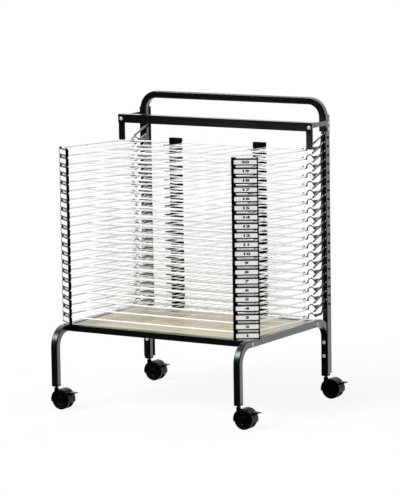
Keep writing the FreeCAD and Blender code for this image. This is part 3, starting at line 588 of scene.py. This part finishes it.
def solid_outline(name, outline, push):
    """Closed outline of points, pushed out to a solid, all in millimetres."""
    deselect()
    bpy.ops.mesh.primitive_circle_add(vertices=len(outline), radius=0.01, fill_type="NGON")
    made = bpy.context.object
    made.name = name
    for vertex, place in zip(made.data.vertices, outline):
        vertex.co = [c * MM for c in place]
    edit(made, lambda face: True)
    bpy.ops.mesh.extrude_region_move(TRANSFORM_OT_translate={"value": tuple(c * MM for c in push)})
    return outward(made)


def round_bar(name, radius, start, end, sides, bevel):
    """Round bar between two points in millimetres, its ends bevelled."""
    deselect()
    first, last = Vector(start) * MM, Vector(end) * MM
    turn = (last - first).to_track_quat("Z", "Y").to_euler()
    bpy.ops.mesh.primitive_cylinder_add(vertices=sides, radius=radius * MM, depth=(last - first).length,
                                        location=(first + last) / 2, rotation=turn)
    made = bpy.context.object
    made.name = name
    settle(made)
    return round_edges(made, bevel)


# ---- carried-over steel, wood and wire ----
class RACK_OT_stand(bpy.types.Operator):
    """Finishes the stand, the uprights, the handle, the rail, the tray and the screws"""
    bl_idname = "rack.stand"
    bl_label = "Stand and tray"

    def execute(self, context):
        steel = finish(powder_coated_steel)
        for name in ("base_frame", "rear_uprights", "push_handle", "top_rail"):
            give_finish(name, steel)
        give_finish("tray_board", finish(birch_plywood))
        give_finish("frame_fasteners", finish(bright_zinc_plate))
        give_finish("leg_plugs", finish(moulded_polypropylene))
        return {"FINISHED"}


class RACK_OT_wire_shelves(bpy.types.Operator):
    """Finishes the coated wire of every shelf"""
    bl_idname = "rack.wire_shelves"
    bl_label = "Wire shelves"

    def execute(self, context):
        coating = finish(dipped_pvc_coating)
        for number in range(len(SHELF_JOINTS)):
            give_finish("shelf_%02d" % (number + 1), coating)
        return {"FINISHED"}


# ---- shelf fittings ----
def holder_model():
    """One right-hand card holder, along +X from the corner wire's front end, facing -Y."""
    h = bpy.context.scene.holder_sizes
    mm = 1 / MM
    start, end = h.start * mm, (h.start + h.length) * mm
    top = h.top * mm
    low = top - h.height * mm
    front = -h.plate_front * mm
    back = front + h.post_depth * mm
    window = start + h.window_start * mm
    post = block("holder", (start, front, low), (window, back, top), 1.2, 3)
    outer_front = front + h.outer_back * mm
    end_post = block("end_post", (end - h.end_width * mm, outer_front, low), (end, back, top), 1.0)
    plate_top = top - h.plate_drop * mm
    plate_low = plate_top - h.plate_height * mm
    border = (h.plate_height - h.window_height) / 2 * mm
    plate = block("plate", (window - border, front + 0.3, plate_low),
                  (window + h.window_length * mm + border, front + h.plate_thickness * mm, plate_top))
    edit(plate, lambda face: face.normal.y < -0.9)
    bpy.ops.mesh.inset(thickness=border * MM)
    bpy.ops.mesh.extrude_region_move(TRANSFORM_OT_translate={"value": (0, h.recess, 0)})
    round_edges(plate, 0.45)
    inner = start + h.post_width * mm
    shoulders = [block("shoulder", (window - 1.5, front + 0.1, z), (inner, back, z + height), 0.9, 2)
                 for z, height in ((plate_top - 1.5, top - plate_top + 1.5), (low, plate_low - low + 1.5))]
    parts = [post, end_post, plate] + shoulders
    ear = h.ear * mm
    inner, outer = inner - 1, end - h.end_width * mm + 1
    depth = front + h.plate_thickness * mm
    for x, inward in ((inner, 1), (outer, -1)):
        for z, tip in ((plate_top - 0.3, top - 0.4), (plate_low + 0.3, low + 0.4)):
            parts.append(ear_model(x, inward * ear, z, tip, front + 0.6, depth))
    return smooth(join("card_holder", parts))


def ear_model(x, reach, root, tip, front, back):
    """Curved ear that runs from a post down to the card plate."""
    steps = 6
    outline = [(x, root), (x, tip)]
    for i in range(1, steps):
        t = i / steps
        outline.append((x + reach * t, tip + (root - tip) * (1 - (1 - t) ** 2)))
    outline.append((x + reach, root))
    return solid_outline("ear", [(along, front, z) for along, z in outline], (0, back - front, 0))


def corner_matrix():
    """From a holder's own axes to the level shelf's right front corner."""
    s = bpy.context.scene.shelf_sizes
    corner = Matrix.Translation((s.corner_x, s.front, -s.wire_drop))
    return corner @ Matrix.Rotation(s.corner_angle, 4, "Z")


class RACK_OT_card_holders(bpy.types.Operator):
    """Adds the moulded card holders at the shelves' front corners"""
    bl_idname = "rack.card_holders"
    bl_label = "Card holders"

    def execute(self, context):
        model = holder_model()
        paint(model, finish(moulded_polypropylene))
        corner = corner_matrix()
        for number, joint in enumerate(SHELF_JOINTS):
            place = shelf_matrix(number)
            right = copy_of(model, "holder_right", place @ corner)
            left = copy_of(model, "holder_left", place @ mirror_x() @ corner)
            pair = join("card_holders_%02d" % (number + 1), [right, left])
            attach(pair, joint["child"])
            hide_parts("shelf_fittings_%02d" % (number + 1))
        discard(model)
        return {"FINISHED"}


def card_model():
    """One card with a slight bow, in the holder's axes."""
    h = bpy.context.scene.holder_sizes
    set_back, bow, thickness = 1.15 * MM, 0.5 * MM, 0.35 * MM
    middle = h.start + h.window_start + h.window_length / 2
    z = h.top - h.plate_drop - h.plate_height / 2
    y = -h.plate_front + set_back
    deselect()
    bpy.ops.mesh.primitive_grid_add(x_subdivisions=10, y_subdivisions=2, size=1, location=(middle, y, z),
                                    rotation=(math.radians(90), 0, 0))
    made = bpy.context.object
    made.scale = (h.window_length + 0.8 * MM, h.window_height - 0.3 * MM, 1)
    settle(made)
    half = h.window_length / 2
    for vertex in made.data.vertices:
        vertex.co.y -= bow * (1 - ((vertex.co.x - middle) / half) ** 2)
    modify(made, "SOLIDIFY", thickness=thickness, offset=-1)
    outward(made)
    return smooth(made), middle, y, z


def number_mesh(text, middle, y, z):
    """A plain printed number, as a thin raised mesh on the card."""
    h = bpy.context.scene.holder_sizes
    ink, in_front = 0.06 * MM, 0.52 * MM
    deselect()
    bpy.ops.object.text_add()
    made = bpy.context.object
    made.data.body = text
    made.data.size = h.digit_size
    made.data.offset = h.digit_weight
    made.data.align_x = "CENTER"
    made.data.align_y = "CENTER"
    made.data.extrude = ink
    made.data.resolution_u = 3
    pick(made)
    bpy.ops.object.convert(target="MESH")
    made.data.transform(Matrix.Scale(h.digit_stretch, 4, (1, 0, 0)))
    made.data.transform(Matrix.Rotation(math.radians(90), 4, "X"))
    made.data.transform(Matrix.Translation((middle, y - in_front, z)))
    return made


class RACK_OT_cards(bpy.types.Operator):
    """Adds the cards to the holders: numbered on the right, bare on the left"""
    bl_idname = "rack.cards"
    bl_label = "Cards"

    def execute(self, context):
        model, middle, y, z = card_model()
        paint(model, finish(index_card))
        ink = finish(printing_ink)
        corner = corner_matrix()
        for number, joint in enumerate(SHELF_JOINTS):
            place = shelf_matrix(number)
            text = paint(number_mesh(str(number + 1), middle, y, z), ink)
            text.data.transform(place @ corner)
            sides = [copy_of(model, "card", place @ side @ corner)
                     for side in (Matrix.Identity(4), mirror_x())]
            cards = join("cards_%02d" % (number + 1), sides + [text])
            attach(cards, joint["child"])
        discard(model)
        return {"FINISHED"}


def stop_model():
    """One rear stop about the rack's middle, in the level shelf's axes."""
    s = bpy.context.scene.stop_sizes
    shelf = bpy.context.scene.shelf_sizes
    mm = 1 / MM
    plane = -shelf.wire_drop * mm
    middle = shelf.rear * mm
    front, rear = middle - s.depth / 2 * mm, middle + s.depth / 2 * mm
    left, right = -s.width / 2 * mm, s.width / 2 * mm
    body = block("stop", (left, front, plane - s.below * mm), (right, rear, plane + s.above * mm))
    edit(body, lambda e: lengthwise(body, e), "EDGE")
    bpy.ops.mesh.bevel(offset=4 * MM, segments=5)
    round_edges(body, 0.6)
    edit(body, lambda face: face.normal.y < -0.98 and face.area > 1e-4)
    bpy.ops.mesh.inset(thickness=2.2 * MM)
    bpy.ops.mesh.extrude_region_move(TRANSFORM_OT_translate={"value": (0, 0.5 * MM, 0)})
    low = plane - s.foot_below * mm
    foot = block("foot", (left + 1, front - s.foot_length * mm, low),
                 (left + 1 + s.foot_width * mm, rear - 0.4, low + s.foot_thickness * mm), 0.9, 3)
    heel = block("heel", (left + 1.3, front + 0.3, low + 0.4),
                 (left + 0.7 + s.foot_width * mm, rear - 0.3, plane), 0.5, 2)
    lip = block("lip", (left + 1, front - s.foot_length * mm, low + 0.5),
                (left + 1 + s.foot_width * mm, front - (s.foot_length * mm - 2.2),
                 low + s.foot_thickness * mm + 1.2), 0.8, 2)
    rib = block("rib", (left + s.foot_width / 2 * mm, front - 14, low + 1),
                (left + s.foot_width / 2 * mm + 2, front + 0.5, plane - s.below * mm + 0.5), 0.3, 1)
    lobe = block("lobe", (right - s.lobe_width * mm, front + 0.2, plane - s.lobe_below * mm),
                 (right - 3, rear - 0.2, plane), 1.2, 3)
    return smooth(join("rear_stop", [body, foot, heel, lip, rib, lobe]))


class RACK_OT_rear_stops(bpy.types.Operator):
    """Adds the moulded stops on the shelves' rear wires"""
    bl_idname = "rack.rear_stops"
    bl_label = "Rear stops"

    def execute(self, context):
        model = stop_model()
        paint(model, finish(moulded_polypropylene))
        sizes = context.scene.stop_sizes
        for number, joint in enumerate(SHELF_JOINTS):
            place = shelf_matrix(number)
            sides = [copy_of(model, "stop", place @ Matrix.Translation((x, 0, 0)))
                     for x in (sizes.left_place, sizes.right_place)]
            pair = join("rear_stops_%02d" % (number + 1), sides)
            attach(pair, joint["child"])
            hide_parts("shelf_fittings_%02d" % (number + 1))
        discard(model)
        return {"FINISHED"}


def arm_plate_model():
    """The right-hand arm's flat plate: a low strip that rises to the pivot's boss."""
    s = bpy.context.scene.shelf_sizes
    outline = [(-61, -30.2), (-61, -35), (-57, -42), (-16, -38.4), (-9, -36.3), (-6.9, -32), (-6.7, -29.2),
               (-5.4, -26.2), (-3.2, -24.1), (0, -23.1), (3, -22.9), (6.9, -21.8), (6.9, 0), (6.1, 3.5),
               (3.5, 6.1), (0, 7), (-3.5, 6.1), (-6.1, 3.5), (-6.9, 0), (-10, -22), (-15.5, -29),
               (-22, -31.5)]
    inner, thickness = s.plate_place / MM, s.plate_thickness / MM
    plate = solid_outline("arm_plate", [(inner, y, z) for y, z in outline], (thickness, 0, 0))
    return smooth(round_edges(plate, 0.4))


def arm_rod_model():
    """The right-hand arm's clip, bent rod, pin, sleeve and cap, in the level shelf's axes."""
    s = bpy.context.scene.shelf_sizes
    plane, rear, middle = -s.wire_drop / MM, s.rear / MM, s.rod_place / MM
    # The rod's course: distance along Y from the pivot, and height above the wire plane.
    route = [(-106.2, -3.6), (-106.6, 2.4), (-101.5, 7.8), (-91, 10.6), (-78, 9.2), (-66, 3.4), (-56, -4.2)]
    rod = bent_wire("rod", [(middle, y, plane + up) for y, up in route],
                    s.rod_radius / MM, 12)
    foot_rear = -103.8
    band = block("band", (343.5, rear - 4.2, plane - 5.4), (349.5, rear + 4.2, plane + 4.2), 1.4, 3)
    bar = block("bar", (343.8, rear - 4.0, plane - 5.4), (360, foot_rear, plane - 3.2), 0.6, 2)
    foot = block("foot", (355.6, foot_rear - 4.4, plane - 5.2), (360, foot_rear, plane + 4.9), 1.3, 3)
    weld = round_bar("weld", 2.7, (middle, -60.5, plane - 0.6), (middle, -56.5, plane - 3.4), 16, 1.0)
    pin = round_bar("pin", 2.1, (357.5, 0, 0), (386.5, 0, 0), 16, 0.3)
    sleeve = round_bar("sleeve", 4.0, (358.8, 0, 0), (379.6, 0, 0), 24, 0.5)
    cap = round_bar("cap", 4.4, (382.9, 0, 0), (385.2, 0, 0), 20, 0.8)
    ring = round_bar("ring", 2.9, (385.0, 0, 0), (386.9, 0, 0), 16, 0.7)
    return smooth(join("arm_rod", [rod, band, bar, foot, weld, pin, sleeve, cap, ring]))


class RACK_OT_shelf_arms(bpy.types.Operator):
    """Adds the steel arms that carry the shelves"""
    bl_idname = "rack.shelf_arms"
    bl_label = "Shelf arms"

    def execute(self, context):
        # The arm plates carry a painted reflection, grey-green on steel that is black.
        plate = paint(arm_plate_model(), finish(plate_steel_painted_reflection))
        rod = paint(arm_rod_model(), finish(blackened_steel))
        for number, joint in enumerate(SHELF_JOINTS):
            place = shelf_matrix(number)
            for model, name in ((plate, "arm_plates"), (rod, "arm_rods")):
                sides = [copy_of(model, name, place), copy_of(model, name, place @ mirror_x())]
                pair = join("%s_%02d" % (name, number + 1), sides)
                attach(pair, joint["child"])
                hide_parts("shelf_fittings_%02d" % (number + 1))
        discard(plate, rod)
        return {"FINISHED"}


# ---- springs ----
def spring_model():
    """One spring along +Z from its low hook, at the origin: close coils with a loop at each end."""
    s = bpy.context.scene.spring_sizes
    low, high = spring_ends()
    total = (high - low).length
    coil = total - 2 * s.hook
    deselect()
    bpy.ops.mesh.primitive_circle_add(vertices=6, radius=s.wire, location=(s.radius - s.wire, 0, s.hook),
                                      rotation=(math.radians(90), 0, 0))
    body = settle(bpy.context.object)
    modify(body, "SCREW", angle=math.tau, screw_offset=coil / s.turns, iterations=s.turns, steps=10,
           render_steps=10, axis="Z", use_smooth_shade=True)
    edit(body, lambda e: True, "EDGE")
    bpy.ops.mesh.select_all(action="DESELECT")
    bpy.ops.mesh.select_non_manifold()
    bpy.ops.mesh.fill()
    outward(body)
    mm = 1 / MM
    ring = (s.radius - s.wire) * mm
    end = s.hook * mm
    wire = s.wire * mm
    grip = s.grip * mm
    low_points = [(ring, 0, end), (ring, 1.2, end - 1.2), (ring * 0.2, 1.0, end - 2.4), (0, 0, end - 3.6),
                  (0, 0, 1.2), (0, -1.6, 0), (0, -grip + 1, 0), (-0.4, -grip, 0), (-2.8, -grip, 0.6)]
    low_hook = bent_wire("low_hook", low_points, wire, 6)
    top = total * mm
    high_points = [(ring, 0, top - end), (ring, -1.2, top - end + 1.2), (ring * 0.2, -1.0, top - end + 2.4),
                   (0, 0, top - end + 3.6), (0, 0, top), (-1.3, 0, top + 3.6), (-2.4, 0, top + 6.4),
                   (-3.6, 0, top + 6.9), (-6.0, 0, top + 5.4)]
    high_hook = bent_wire("high_hook", high_points, wire, 6)
    return smooth(join("spring", [body, low_hook, high_hook]), 60)


def spring_ends():
    """Low and high end of a right-hand spring from its shelf's pivot."""
    s = bpy.context.scene.spring_sizes
    return Vector((s.offset, -s.low_forward, -s.low_below)), Vector((s.offset, s.high_behind, s.high_above))


class RACK_OT_springs(bpy.types.Operator):
    """Adds the tension springs, at their shelves' resting places"""
    bl_idname = "rack.springs"
    bl_label = "Springs"

    def execute(self, context):
        model = spring_model()
        paint(model, finish(zinc_plated_steel))
        low, high = spring_ends()
        turn = (high - low).to_track_quat("Z", "X").to_matrix().to_4x4()
        for number, joint in enumerate(SHELF_JOINTS):
            pivot = Vector(joint["pos_m"])
            pivot.x = MIDDLE_X
            place = Matrix.Translation(pivot)
            right = copy_of(model, "spring_right", place @ Matrix.Translation(low) @ turn)
            left = copy_of(model, "spring_left", place @ mirror_x() @ Matrix.Translation(low) @ turn)
            pair = join("spring_pair_%02d" % (number + 1), [right, left])
            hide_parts("shelf_springs")
            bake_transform(pair)
        discard(model)
        return {"FINISHED"}


# ---- casters ----
def wheel_model():
    """One wheel about its own centre, its outer face towards -Y: tyre, rim step, dish and hub cap."""
    c = bpy.context.scene.caster_sizes
    deselect()
    bpy.ops.mesh.primitive_cylinder_add(vertices=64, radius=c.wheel_radius, depth=c.wheel_width,
                                        rotation=(math.radians(90), 0, 0))
    made = settle(bpy.context.object)
    made.name = "wheel"
    edit(made, lambda face: face.normal.y < -0.9)
    # From the tyre to the hub cap: how far each ring goes inwards, and how far into the wheel.
    for thickness, depth in ((7.5, 0.0), (0.8, 1.6), (8.5, 0.0), (1.2, 1.2), (5.0, 0.0), (0.9, -1.6)):
        bpy.ops.mesh.inset(thickness=thickness * MM)
        if depth:
            bpy.ops.transform.translate(value=(0, depth * MM, 0))
    edit(made, lambda e: abs(radius_of(made, e) - c.wheel_radius) < 0.2 * MM and not lengthwise(made, e),
         "EDGE")
    bpy.ops.mesh.bevel(offset=3 * MM, segments=4)
    round_edges(made, 0.35, angle_limit=math.radians(35))
    return smooth(made, 35)


def radius_of(obj, edge):
    """Distance of an edge's first point from the Y axis."""
    first = obj.data.vertices[edge.vertices[0]].co
    return math.hypot(first.x, first.z)


def lengthwise(obj, edge):
    """True for an edge that runs along Y."""
    first, last = (obj.data.vertices[i].co for i in edge.vertices)
    return abs(first.y - last.y) > MM


class RACK_OT_casters(bpy.types.Operator):
    """Adds the wheels and finishes the housings and brake levers"""
    bl_idname = "rack.casters"
    bl_label = "Casters"

    def execute(self, context):
        c = context.scene.caster_sizes
        model = wheel_model()
        paint(model, finish(polyurethane_tread))
        nylon = finish(moulded_nylon)
        for corner in CORNERS:
            roll = next(j for j in frame["joints"] if j["name"] == corner + "_roll")
            centre = Vector(roll["pos_m"])
            shift = c.wheel_inside + c.wheel_width / 2
            front = copy_of(model, "front_wheel", Matrix.Translation(centre - Vector((0, shift, 0))))
            back = copy_of(model, "back_wheel", Matrix.Translation(centre + Vector((0, shift, 0)))
                           @ Matrix.Rotation(math.pi, 4, "Z"))
            wheels = join(corner + "_wheel_pair", [front, back])
            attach(wheels, corner + "_roller")
            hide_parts(corner + "_wheels")
            give_finish(corner + "_housing", nylon)
            give_finish(corner + "_brake", nylon)
        discard(model)
        return {"FINISHED"}


# ---- stage ----
def studio_floor():
    """White painted studio floor: it keeps the rack's shadow, and gloss looks past it to the sweep."""
    material, add, place = new_material("painted_studio_floor")
    tone = rgba(bpy.context.scene.rack_colours.floor)
    path = add("LightPath")
    mottle = add("TexNoise", {"Vector": place, "Scale": 3.0, "Detail": 2.0})
    shade = add("Mix", {"Factor": mottle, 6: (0.85, 0.85, 0.85, 1), 7: tone}, data_type="RGBA")
    dull = add("BsdfDiffuse", {"Color": shade.outputs[2]})
    glow = add("Emission", {"Color": tone, "Strength": 1.0})
    seen = add("MixShader", {"Fac": 0.86, 1: dull, 2: glow})
    lit = add("MixShader", {"Fac": path.outputs["Is Camera Ray"], 1: dull, 2: seen})
    clear = add("BsdfTransparent")
    past = add("MixShader", {"Fac": path.outputs["Is Glossy Ray"], 1: lit, 2: clear})
    add("OutputMaterial", {"Surface": past})
    return material


def studio_world():
    """Surroundings: even fill; gloss shows a white sweep behind the rack and a dim room in front."""
    settings = bpy.context.scene.stage_settings
    world = bpy.data.worlds.new("studio")
    bpy.context.scene.world = world
    world.use_nodes = True
    world.node_tree.nodes.clear()
    add = partial(add_node, world.node_tree)
    white = (1, 1, 1, 1)
    direction = add("TexCoord").outputs["Generated"]
    towards = add("VectorMath", {0: direction, 1: settings.sweep_direction},
                  operation="DOT_PRODUCT")
    level = add("MapRange", {"Value": towards.outputs["Value"], "From Min": 0.1, "From Max": 0.5,
                                       "To Min": 0.01, "To Max": settings.backdrop_strength},
                interpolation_type="SMOOTHSTEP")
    sweep = add("Background", {"Color": white, "Strength": level})
    fill = add("Background", {"Color": white, "Strength": settings.fill_strength})
    seen = add("Background", {"Color": white, "Strength": 1.0})
    path = add("LightPath")
    lit = add("MixShader", {"Fac": path.outputs["Is Glossy Ray"], 1: fill, 2: sweep})
    around = add("MixShader", {"Fac": path.outputs["Is Camera Ray"], 1: lit, 2: seen})
    add("OutputWorld", {"Surface": around})


class RACK_OT_stage(bpy.types.Operator):
    """Adds the camera, the key light, the surroundings and the floor"""
    bl_idname = "rack.stage"
    bl_label = "Stage"

    def execute(self, context):
        scene = context.scene
        settings = scene.stage_settings
        scene.view_settings.view_transform = "Standard"
        deselect()
        forward = Vector(settings.camera_forward)
        turn = forward.to_track_quat("-Z", "Y") @ Quaternion((0, 0, 1), settings.camera_roll)
        bpy.ops.object.camera_add(location=settings.camera_place, rotation=turn.to_euler())
        camera = context.object
        camera.name = "camera"
        camera.data.sensor_fit = "VERTICAL"
        camera.data.sensor_height = 36.0
        camera.data.lens = settings.focal_length
        camera.data.clip_end = 200.0
        scene.camera = camera
        deselect()
        bpy.ops.mesh.primitive_plane_add(size=settings.floor_size, location=(0, 0, 0))
        floor = context.object
        floor.name = "floor"
        paint(floor, studio_floor())
        deselect()
        bpy.ops.object.light_add(type="SUN", location=(3, -2, 5))
        key = context.object
        key.name = "key_light"
        key.data.energy = settings.key_strength
        key.data.angle = settings.key_angle
        key.rotation_euler = Vector(settings.key_direction).to_track_quat("-Z", "Y").to_euler()
        studio_world()
        return {"FINISHED"}


# ---- panel and registration ----
OPERATORS = (RACK_OT_stand, RACK_OT_wire_shelves, RACK_OT_card_holders, RACK_OT_cards, RACK_OT_rear_stops,
             RACK_OT_shelf_arms, RACK_OT_springs, RACK_OT_casters, RACK_OT_stage)
SETTINGS = {"rack_colours": RackColours, "shelf_sizes": ShelfSizes, "holder_sizes": HolderSizes,
            "stop_sizes": StopSizes, "spring_sizes": SpringSizes, "caster_sizes": CasterSizes,
            "stage_settings": StageSettings}


class RACK_PT_panel(bpy.types.Panel):
    """Lists the rack's pieces in the sidebar"""
    bl_idname = "RACK_PT_panel"
    bl_label = "Art drying rack"
    bl_space_type = "VIEW_3D"
    bl_region_type = "UI"
    bl_category = "Drying rack"

    def draw(self, context):
        for operator in OPERATORS:
            self.layout.operator(operator.bl_idname)
        for name, group in SETTINGS.items():
            box = self.layout.box()
            box.label(text=group.__doc__)
            for key in group.__annotations__:
                box.prop(getattr(context.scene, name), key)


def register():
    """Registers the settings, the operators and the panel."""
    for name, group in SETTINGS.items():
        bpy.utils.register_class(group)
        setattr(bpy.types.Scene, name, PointerProperty(type=group))
    for item in (*OPERATORS, RACK_PT_panel):
        bpy.utils.register_class(item)


def unregister():
    """Takes them out again."""
    for item in (RACK_PT_panel, *reversed(OPERATORS)):
        bpy.utils.unregister_class(item)
    for name, group in reversed(SETTINGS.items()):
        delattr(bpy.types.Scene, name)
        bpy.utils.unregister_class(group)


def main():
    """Builds every piece and the stage."""
    register()
    bpy.ops.rack.stage()
    bpy.ops.rack.stand()
    bpy.ops.rack.wire_shelves()
    bpy.ops.rack.card_holders()
    bpy.ops.rack.cards()
    bpy.ops.rack.rear_stops()
    bpy.ops.rack.shelf_arms()
    bpy.ops.rack.springs()
    bpy.ops.rack.casters()


if __name__ == "__main__":
    main()
